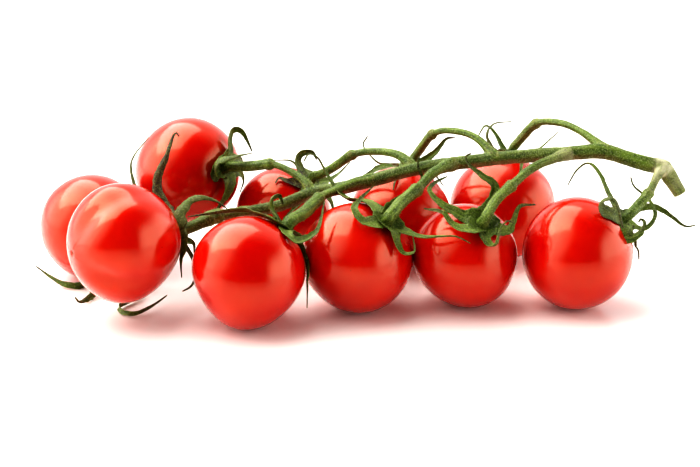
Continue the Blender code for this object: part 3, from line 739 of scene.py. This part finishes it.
# number: the first sepal's turn about the stem end in degrees, then each sepal in order round the hub:
# its greatest width, and the points that it passes through, measured from the middle of the hub
SEPALS = {
    1: (0, (
        (4.2, ((-3.5, -2.5, -1), (-4, -6, -4.5), (-5.5, -11, -6.5), (-7.5, -17, -6), (-8.5, -18.5, -4))),
        (3.5, ((-3, 1, -4.5), (-8, 0.5, -6.3), (-10.5, -2, -6.3), (-14, -2, -6), (-18, 0, -5),
               (-24, 3, -2))),
        (2.8, ((4, -3, -3.5), (7, -8, -5.5), (9, -12, -6.2), (6, -17, -6.5), (4.5, -20, -6.5),
               (6.5, -24, -6.5), (10, -24.5, -6.5), (14, -19, -6.3), (17.5, -13, -5.5))),
        (2.6, ((4, 2, 1), (7, 3, 4), (9, 5, 9))),
        (2.6, ((-2, 0, 5), (-3, -1, 9), (-2, -3, 13))),
    )),
    2: (0, (
        (4.0, ((2.5, -3.5, -1.5), (2.5, -6, -5), (3, -8, -11))),
        (3.6, ((3, -0.5, -4), (5.5, -2, -7.5), (6.5, -4.5, -11), (5.5, -6, -14), (3, -7, -15.5))),
        (3.4, ((1.5, 3, -3.5), (5, 5, -5), (5.5, 4, -8))),
        (2.2, ((-4, 6, 1.5), (-9, 9, 5), (-12, 12, 9.5), (-13.5, 14.5, 15), (-12.5, 16.5, 18.5),
               (-8.5, 19.5, 23))),
        (4.4, ((-1, 6, 3), (-3.2, 9.5, 5.2), (-5.6, 12, 9.3), (-4.8, 13.5, 14.3), (-2.7, 14.5, 19),
               (-1, 16.5, 24), (0.2, 16.8, 25.2), (0.9, 16.5, 24.2))),
        (4.3, ((1.5, -0.5, 3.5), (2.5, 1.5, 6.5), (5, 4, 8.7), (8.5, 4, 9.5), (12.5, 5, 8),
               (16, 4, 5.5))),
    )),
    3: (20, (
        (5.6, ((-1.2, -3.8, -0.4), (-2.3, -4.8, -1.4), (-2.2, -5.4, -3.2))),
        (5.2, ((1.4, -2.5, -3.5), (1, -4, -6.5), (-1, -5, -10), (-2.8, -6, -13))),
        (2.4, ((4, 3, -2.5), (5.5, 4, -5.5), (4.5, 3, -9))),
        (2.6, ((2, 5, 0.5), (3, 9, -0.5), (3, 13, -3))),
        (3.6, ((1.5, 2.5, 4), (1.5, 3.5, 8), (2.5, 5.5, 10.5), (5.5, 6.5, 9.5), (8.5, 5, 3.5))),
        (5.8, ((-2, -3.5, 0.8), (-2.2, -5, 2.6), (-0.4, -6, 4.4), (4, -5.5, 5.2), (9, -2.5, 5.2))),
    )),
    4: (75, (
        (2.6, ((3, 2.5, -3), (5, 2, -7), (6, -1.5, -11), (6.5, -5, -16), (6.5, -8, -20.5))),
        (2.6, ((0, 5, -1), (0.5, 9, -3), (0, 12, -6))),
        (4.4, ((-2.5, 3.5, 2), (-4, 4.5, 5), (-3.5, 4.5, 8), (-1.5, 6.5, 8), (-0.5, 7.5, 5))),
        (4.2, ((-3, -2.5, 2.5), (-6.5, -1, 4), (-9.5, 2.5, 4.5), (-15, 5.5, 3.5), (-21, 8, 2),
               (-28, 10, 0.5))),
        (3.0, ((0.5, -4.5, 1), (2, -8, 0.5), (4, -8, -0.8), (7.5, -4.5, -0.5), (10, -2.5, 1.5),
               (11.5, 2.5, 7.5))),
    )),
    5: (33, (
        (2.6, ((-1, -6, -1), (-3, -9.5, -4), (-7.5, -12, -8))),
        (2.6, ((4, -2, -2), (7, -5, -5), (8, -8, -8))),
        (2.4, ((3.5, 3, -0.5), (6.5, 4.5, -0.5), (9.5, 5, 1.5), (13, 6, 5))),
        (1.8, ((-1, 5, 0.5), (-3.5, 8, 2.5), (-6, 9, 4.5), (-11, 8, 5))),
        (4.4, ((-2.5, 1.5, 2.5), (-3.8, 2, 6.5), (-2.5, 3.5, 8.5), (1, 5, 8.5), (2.5, 5, 6))),
        (2.6, ((-3, -3, 0), (-6.5, -4, 1.5), (-9, -3.5, 2.5), (-10, -4.5, 1))),
    )),
    6: (48, (
        (2.7, ((2, -4.5, -1.5), (3, -6, -4.5), (5, -7.5, -7), (8, -8.5, -6), (7.5, -6.5, -2))),
        (3.0, ((4.5, -2, -2), (10, -5, -3), (15, -6, -2.5), (19.5, -6, -2.5), (23.5, -7.5, -4))),
        (2.8, ((1, 3.5, 1.5), (3, 7, 3.5), (6.5, 11, 4.5), (9.5, 14.7, 5.5), (10.8, 16.7, 8),
               (9.6, 16.8, 11.5), (10, 17, 14.5))),
        (4.8, ((-3, 3, 1.5), (-6.5, 7, 2.5), (-11, 10.5, 3.5), (-14, 15, 4.5), (-17, 18, 8.5),
               (-19.5, 19.5, 13), (-22, 19, 14.5), (-23.5, 17, 13))),
        (3.2, ((-3.5, -4.5, 1.2), (-7, -6.5, 2.5), (-9, -4, 5), (-7.5, 1, 6), (-3.5, 5, 9))),
    )),
    7: (60, (
        (3.2, ((2.5, 3.5, 0.5), (6, 5, 3), (9, 6, 5.5), (12, 7, 9), (15, 8.5, 9))),
        (2.2, ((-2, 5.5, 0.5), (-6, 7, 0.5), (-9.5, 7, 1), (-12.5, 8.5, 3.5), (-14.5, 11, 6),
               (-13, 12.5, 8.5))),
        (3.8, ((-4, 0.5, 1), (-9, 0.5, 1.2), (-12.5, 0, -0.5), (-15.5, -1.5, -1.5))),
        (2.6, ((-1.5, -5, 2.5), (-3, -11, 3.5), (-4.5, -17, 3), (-5.5, -21, 0.5))),
        (2.4, ((4, -3, 1.5), (7.5, -6, 1), (10.5, -9, -2))),
    )),
    8: (15, (
        (3.6, ((-3, -4.5, 0), (-7, -4.5, 0.2), (-9.5, -3, 1.8), (-11.5, -1.5, 4), (-16.5, 0.5, 4.5))),
        (2.6, ((0.5, -5, -2.2), (1.8, -6.8, -4), (3.6, -8.6, -2.8), (4.4, -7.6, 0.6), (6.5, -4.5, 2.2),
               (8.5, -2.5, 1.4))),
        (2.8, ((4, -1.5, -1), (7.5, -0.5, -1.5), (9, 2, 0.5), (11, 5.5, 3.5), (16, 9, 3))),
        (3.4, ((1, 3.5, 2), (3.5, 7, 5.5), (4, 8.5, 9), (0, 8.5, 12.2), (-3.6, 8, 15.3),
               (-4.4, 8.3, 17.6), (-3, 8.5, 18.6))),
        (3.4, ((-4, 0.5, 1.5), (-8, 1, 3.5), (-12, 2, 5.5), (-15, 4.5, 8.5), (-13, 8, 10),
               (-9.5, 10.5, 11))),
    )),
    9: (22, (
        (2.2, ((3.5, 1.5, 0.5), (7.5, 3.5, 1), (10.5, 4.5, 3), (13.5, 5.5, 5.5), (16, 6.5, 7.5))),
        (2.6, ((1, 4, -1.5), (2, 8, -4.5), (3, 10, -9))),
        (1.8, ((-1.5, 4, 1), (-3, 6.5, 4.5), (-5, 8, 7.5), (-7.5, 8.5, 9), (-10, 7, 5.5))),
        (2.0, ((-3.5, 0, 1), (-5.8, 1.5, 3.5), (-7.5, 3.5, 7.5), (-5, 6, 10.5), (1, 9, 10.5))),
        (2.4, ((0.5, -5, 2.5), (2, -11, 3.5), (1.5, -17, 2), (0, -21, -1))),
    )),
    10: (0, (
        (4.2, ((-1.8, -4, -1.4), (0, -6.4, -2.8), (3, -6.8, -2.4), (5.3, -5.9, -0.2), (5.6, -5.1, 1.5),
               (4.6, -4.9, 2.1), (4, -5.5, 1.4))),
        (1.6, ((1.5, -1, -3.5), (3.5, -0.5, -6.5), (5.5, 0.5, -9), (6, 0.5, -12))),
        (1.7, ((3.5, 2, -2), (7, 3, -3.5), (10, 5, -2.5), (11.5, 8, 0), (10, 12, 3), (6.5, 16, 5.5),
               (5.5, 17.5, 8))),
        (2.8, ((3, 5.5, 0), (7.5, 10, 0.8), (12, 11.5, 0.5), (16, 11, -1.5), (20.5, 9, -4.5),
               (23.5, 8, -4))),
        (3.2, ((-1.5, 3, 3), (-3.5, 5, 7), (-5.5, 8, 11.5), (-8.3, 11, 14), (-11.5, 11, 12),
               (-14.5, 8, 8.3))),
        (4.6, ((-2.8, -3.2, 1.2), (-5.8, -5.2, 3.8), (-7.5, -6.5, 7), (-6, -7.6, 9.2), (-4, -8.5, 9.4),
               (-2.4, -9.2, 6.8), (-1, -9.2, 1))),
    )),
}

# both by fruit and sepal: how far a blade has turned over, in degrees, and how far it has dried out
TURNED = {(2, 4): 50, (7, 2): -50, (7, 0): 65, (10, 0): 60}
WITHERED = {(2, 3): 0.3, (2, 4): 0.85, (2, 1): 0.4, (5, 5): 1.0, (5, 3): 0.4, (10, 1): 0.8, (9, 3): 0.5,
            (10, 5): 0.35}


def off_the_skins(point):
    """Moves a sepal's point outward until it clears every tomato and the table."""
    for number, (centre, _, _) in BALLS.items():
        away = point - centre
        if away.length > FRUIT_REACH:
            continue
        needed = skin_radius(number, away.normalized()) + SEPAL_LIFT
        if away.length < needed:
            point = centre + away.normalized() * needed
    point.z = max(point.z, SEPAL_MIDDLE)
    return point


def sepal_width(greatest, along, length):
    """Width of a sepal: webbed to its neighbours at the hub, then a blade that tapers to a thin tip."""
    share = along / length
    blade = SEPAL_TIP + (greatest - SEPAL_TIP) * max(0.0, math.cos(math.pi / 2 * share)) ** SEPAL_TAPER
    return blade + (SEPAL_BASE - blade) * bell(along, SEPAL_WIDENING)


def sepal(middle, axis, outward, greatest, waypoints, turned):
    """Points, faces and masks of one cupped blade, thick at its midrib, from the hub to its tip."""
    sideways = axis.cross(outward)
    route = [middle + outward * SEPAL_START, middle + outward * HUB_RADIUS]
    route += [middle + Vector(waypoint) for waypoint in waypoints]
    path = smooth_route(route, SEPAL_STEP)
    path[SAMPLES_UNDER_HUB:] = [off_the_skins(point) for point in path[SAMPLES_UNDER_HUB:]]
    along, tangents = distances(path), directions(path)
    points, shares, edges, backs, streaks = [], [], [], [], []
    for centre, tangent, side, distance in zip(path, tangents, carried_sides(tangents, sideways), along):
        share = distance / along[-1]
        twist = SEPAL_TWIST * math.sin(TWIST_WAVE * share + greatest * TWIST_START) * share
        twist += math.radians(turned) * (1 - bell(distance, SEPAL_WIDENING))
        side = Matrix.Rotation(twist, 3, tangent) @ side
        up = tangent.cross(side)
        half_width = sepal_width(greatest, distance, along[-1]) / 2
        cup = SEPAL_CUP + (TIP_CUP - SEPAL_CUP) * share ** CUP_EASE
        middle_thickness = SEPAL_MIDDLE + (SEPAL_EDGE - SEPAL_MIDDLE) * share
        for face, order in ((1, ACROSS), (-1, reversed(ACROSS))):
            for u in order:
                notches = noise.noise(centre * NOTCHES_PER_MM + side * math.copysign(EDGES_APART, u))
                ragged = notches * min(1.0, distance / SEPAL_WIDENING)
                half = half_width * (1 + RAGGEDNESS * ragged)
                thickness = SEPAL_EDGE + (middle_thickness - SEPAL_EDGE) * (1 - u * u)
                rib = RIB_RISE * bell(u, RIB_WIDTH) * (1 - share) * (-1 if face > 0 else 1)
                flat = half * math.sin(u * cup) / cup
                rise = half * (1 - math.cos(u * cup)) / cup
                points.append(centre + side * flat + up * (rise + face * thickness / 2 + face * rib))
                shares.append(share)
                edges.append(abs(u))
                backs.append(0.0 if face > 0 else 1.0)
                grain = Vector((u * GRAIN_ACROSS, distance * GRAIN_ALONG, middle.x + greatest))
                streaks.append(streak(grain))
    faces = sleeve_faces(len(path), 2 * len(ACROSS))
    return points, faces, {"along": shares, "edge": edges, "back": backs, "streak": streaks}


def hub(middle, axis, first_outward, lobes):
    """Points and faces of the low green boss that the stalk spreads into."""
    other = axis.cross(first_outward)
    points = []
    for radius, height in HUB_PROFILE[1:-1]:
        for i in range(HUB_SEGMENTS):
            turn = 2 * math.pi * i / HUB_SEGMENTS
            lobed = radius * (1 + HUB_LOBE * math.cos(lobes * turn))
            outward = spoke(first_outward, other, turn)
            points.append(middle + outward * lobed + axis * height)
    points += [middle + axis * HUB_PROFILE[0][1], middle + axis * HUB_PROFILE[-1][1]]
    return points, capped_rings(len(HUB_PROFILE) - 2, HUB_SEGMENTS)


def calyx(number, material):
    """One calyx: its hub and its sepals."""
    first_turn, rows = SEPALS[number]
    axis, middle = BALLS[number][2], hub_middle(number)
    across = axis.cross(Vector((0, 0, 1))).normalized()
    onward = axis.cross(across)
    start = math.radians(first_turn)
    points, faces = hub(middle, axis, spoke(across, onward, start), len(rows))
    masks = {"along": [0.0] * len(points), "edge": [0.5] * len(points), "back": [0.0] * len(points),
             "streak": [0.5] * len(points), "withered": [0.0] * len(points)}
    for k, (greatest, waypoints) in enumerate(rows):
        turn = start + 2 * math.pi * k / len(rows)
        outward = spoke(across, onward, turn)
        turned = TURNED.get((number, k), 0)
        blade, blade_faces, blade_masks = sepal(middle, axis, outward, greatest, waypoints, turned)
        first = len(points)
        points += blade
        faces += [tuple(first + i for i in face) for face in blade_faces]
        for mask, values in blade_masks.items():
            masks[mask] += values
        masks["withered"] += [WITHERED.get((number, k), 0.0)] * len(blade)
    return new_piece(f"calyx_star_{number:02d}", points, faces, material, masks)


def sepal_green():
    """Leafy green: paler near the hub and at the edges, with painted shade round the stalk, darker on the
    back, dry and brown at the tips.
    """
    material, tree, shader = new_material("sepal_green")
    along, edge, back = mask_of(tree, "along"), mask_of(tree, "edge"), mask_of(tree, "back")
    pale = mixed(tree, ramped(tree, along, 0.35, 0.0, 0.0, 0.6), (0.16, 0.22, 0.028, 1),
                 (0.20, 0.28, 0.045, 1))
    pale = mixed(tree, ramped(tree, edge, 0.85, 1.0, 0.0, 0.6), pale, (0.28, 0.33, 0.11, 1))
    # painted shade: the hub and the roots of the blades turn dark round the stalk
    pale = mixed(tree, ramped(tree, along, 0.05, 0.0, 0.0, 0.6), pale, (0.05, 0.075, 0.012, 1))
    pale = mixed(tree, product(tree, back, 0.75), pale, (0.085, 0.085, 0.025, 1))
    dry = calculated(tree, "ADD", ramped(tree, along, 0.55, 1.0, 0.0, 0.9),
                     ramped(tree, patches(tree, 2.5, 2.0), 0.45, 0.75, -0.25, 0.3))
    dry = calculated(tree, "MAXIMUM", dry, mask_of(tree, "withered"))
    clamped = add_node(tree, "ShaderNodeClamp", {"Value": dry}).outputs[0]
    brown = mixed(tree, ramped(tree, patches(tree, 1.0), 0.4, 0.6), (0.03, 0.020, 0.009, 1),
                  (0.10, 0.075, 0.03, 1))
    green = add_node(tree, "ShaderNodeGroup", {
        "Fresh": (0.095, 0.145, 0.014, 1), "Pale": pale, "Shade": (0.045, 0.065, 0.012, 1),
        "Down": (0.42, 0.47, 0.15, 1), "Streak": mask_of(tree, "streak"), "Over": clamped,
        "Over Colour": brown}, node_tree=DOWNY)
    feed(tree, shader, {
        "Base Color": green.outputs["Colour"],
        "Roughness": green.outputs["Roughness"],
        "Normal": bumped(tree, green.outputs["Height"], 0.11),
        "Subsurface Weight": 0.1,
        "Subsurface Radius": (0.5, 1.0, 0.15),
        "Subsurface Scale": 0.4 * MM,
    })
    return material


leafy = sepal_green()
stars = []
for n in FRUITS:
    star = calyx(n, leafy)
    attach(star, "root")
    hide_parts(f"calyx_{n:02d}")
    stars.append(star)

# --- down on the calyces --------------------------------------------------------------
# The sepals and hubs carry the same fine pale hairs as the stem. They grew from both faces and the edges
# of every blade, and all over the hub.

SEPAL_HAIRS = 9000

calyx_down = hairs("calyx_down", stars, SEPAL_HAIRS, down, 2)
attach(calyx_down, "root")

# --- table, light and camera ----------------------------------------------------------
# A glossy white light table in a bright studio: one large soft light overhead, a soft card on the left, and
# white walls behind and to both sides. The camera's side is dark, and shows as the deep red of the fruits.

TABLE_SIZE = 6.0              # metres
CAMERA_DISTANCE = 450.0
CAMERA_RISE = math.radians(18.5)
LENS = 77.14                  # millimetres
SENSOR = 36.0
AIM = Vector((0, 0, 17)) + SHIFT
UPPER_LEFT = (-0.87, 0, 0.5)  # the way to the brightest part of the left wall
BACKDROP = (2, 2, 2, 1)       # what the camera itself sees behind the table: plain white


def white_table():
    """White, faintly glossy table top that glows a little from below."""
    material, tree, shader = new_material("white_table")
    feed(tree, shader, {
        "Base Color": mixed(tree, patches(tree, 40), (0.955, 0.91, 0.86, 1), (0.975, 0.93, 0.88, 1)),
        "Roughness": 0.22,
        "Emission Color": (1.0, 0.9, 0.86, 1),
        "Emission Strength": 0.03,
    })
    return material


half = TABLE_SIZE / 2 / MM
table = new_piece("table", [(-half, -half, -TABLE_CLEARANCE), (half, -half, -TABLE_CLEARANCE),
                            (half, half, -TABLE_CLEARANCE), (-half, half, -TABLE_CLEARANCE)],
                  [(0, 1, 2, 3)], white_table())


def soft_light(name, place, aim, width, height, power):
    """A rectangular soft light, in metres and watts, that faces a point."""
    light = bpy.data.lights.new(name, "AREA")
    light.shape = "RECTANGLE"
    light.size = width
    light.size_y = height
    light.energy = power
    lamp = new_object(name, light)
    lamp.location = place
    lamp.rotation_euler = (Vector(place) - Vector(aim)).to_track_quat("Z", "Y").to_euler()


soft_light("overhead_box", (-0.33, 0.2, 0.7), (0, 0, 0), 1.0, 0.8, 6.1)
soft_light("left_card", (-0.8, 0.0, 0.36), (0, 0, 0.02), 0.8, 0.7, 1.0)

world = bpy.data.worlds.new("studio")
world.use_nodes = True
bpy.context.scene.world = world
room = world.node_tree
direction = add_node(room, "ShaderNodeTexCoord").outputs["Generated"]
towards = add_node(room, "ShaderNodeSeparateXYZ", {0: direction})
upper_left = add_node(room, "ShaderNodeVectorMath", {0: direction, 1: UPPER_LEFT}, operation="DOT_PRODUCT")
# each wall comes up smoothly, between two directions, to its own brightness
behind = ramped(room, towards.outputs["Y"], -0.2, 0.5, 0.045, 0.85)
left = ramped(room, upper_left.outputs["Value"], 0.5, 0.95, 0.0, 1.85)
right = product(room, ramped(room, towards.outputs["X"], 0.55, 0.8, 0.0, 2.2),
                ramped(room, towards.outputs["Z"], 0.75, 0.4))
wall = calculated(room, "MAXIMUM", calculated(room, "MAXIMUM", behind, left), right)
seen = mixed(room, add_node(room, "ShaderNodeLightPath").outputs["Is Camera Ray"], wall, BACKDROP)
room.links.new(seen, room.nodes["Background"].inputs["Color"])

camera = bpy.data.cameras.new("camera")
camera.lens = LENS
camera.sensor_width = SENSOR
camera.clip_start = 0.01
viewer = new_object("camera", camera)
backward = Vector((0, -math.cos(CAMERA_RISE), math.sin(CAMERA_RISE)))
viewer.location = (AIM + backward * CAMERA_DISTANCE) * MM
viewer.rotation_euler = backward.to_track_quat("Z", "Y").to_euler()
bpy.context.scene.camera = viewer
bpy.context.scene.view_settings.view_transform = "Standard"
bpy.context.scene.view_settings.look = "Very High Contrast"
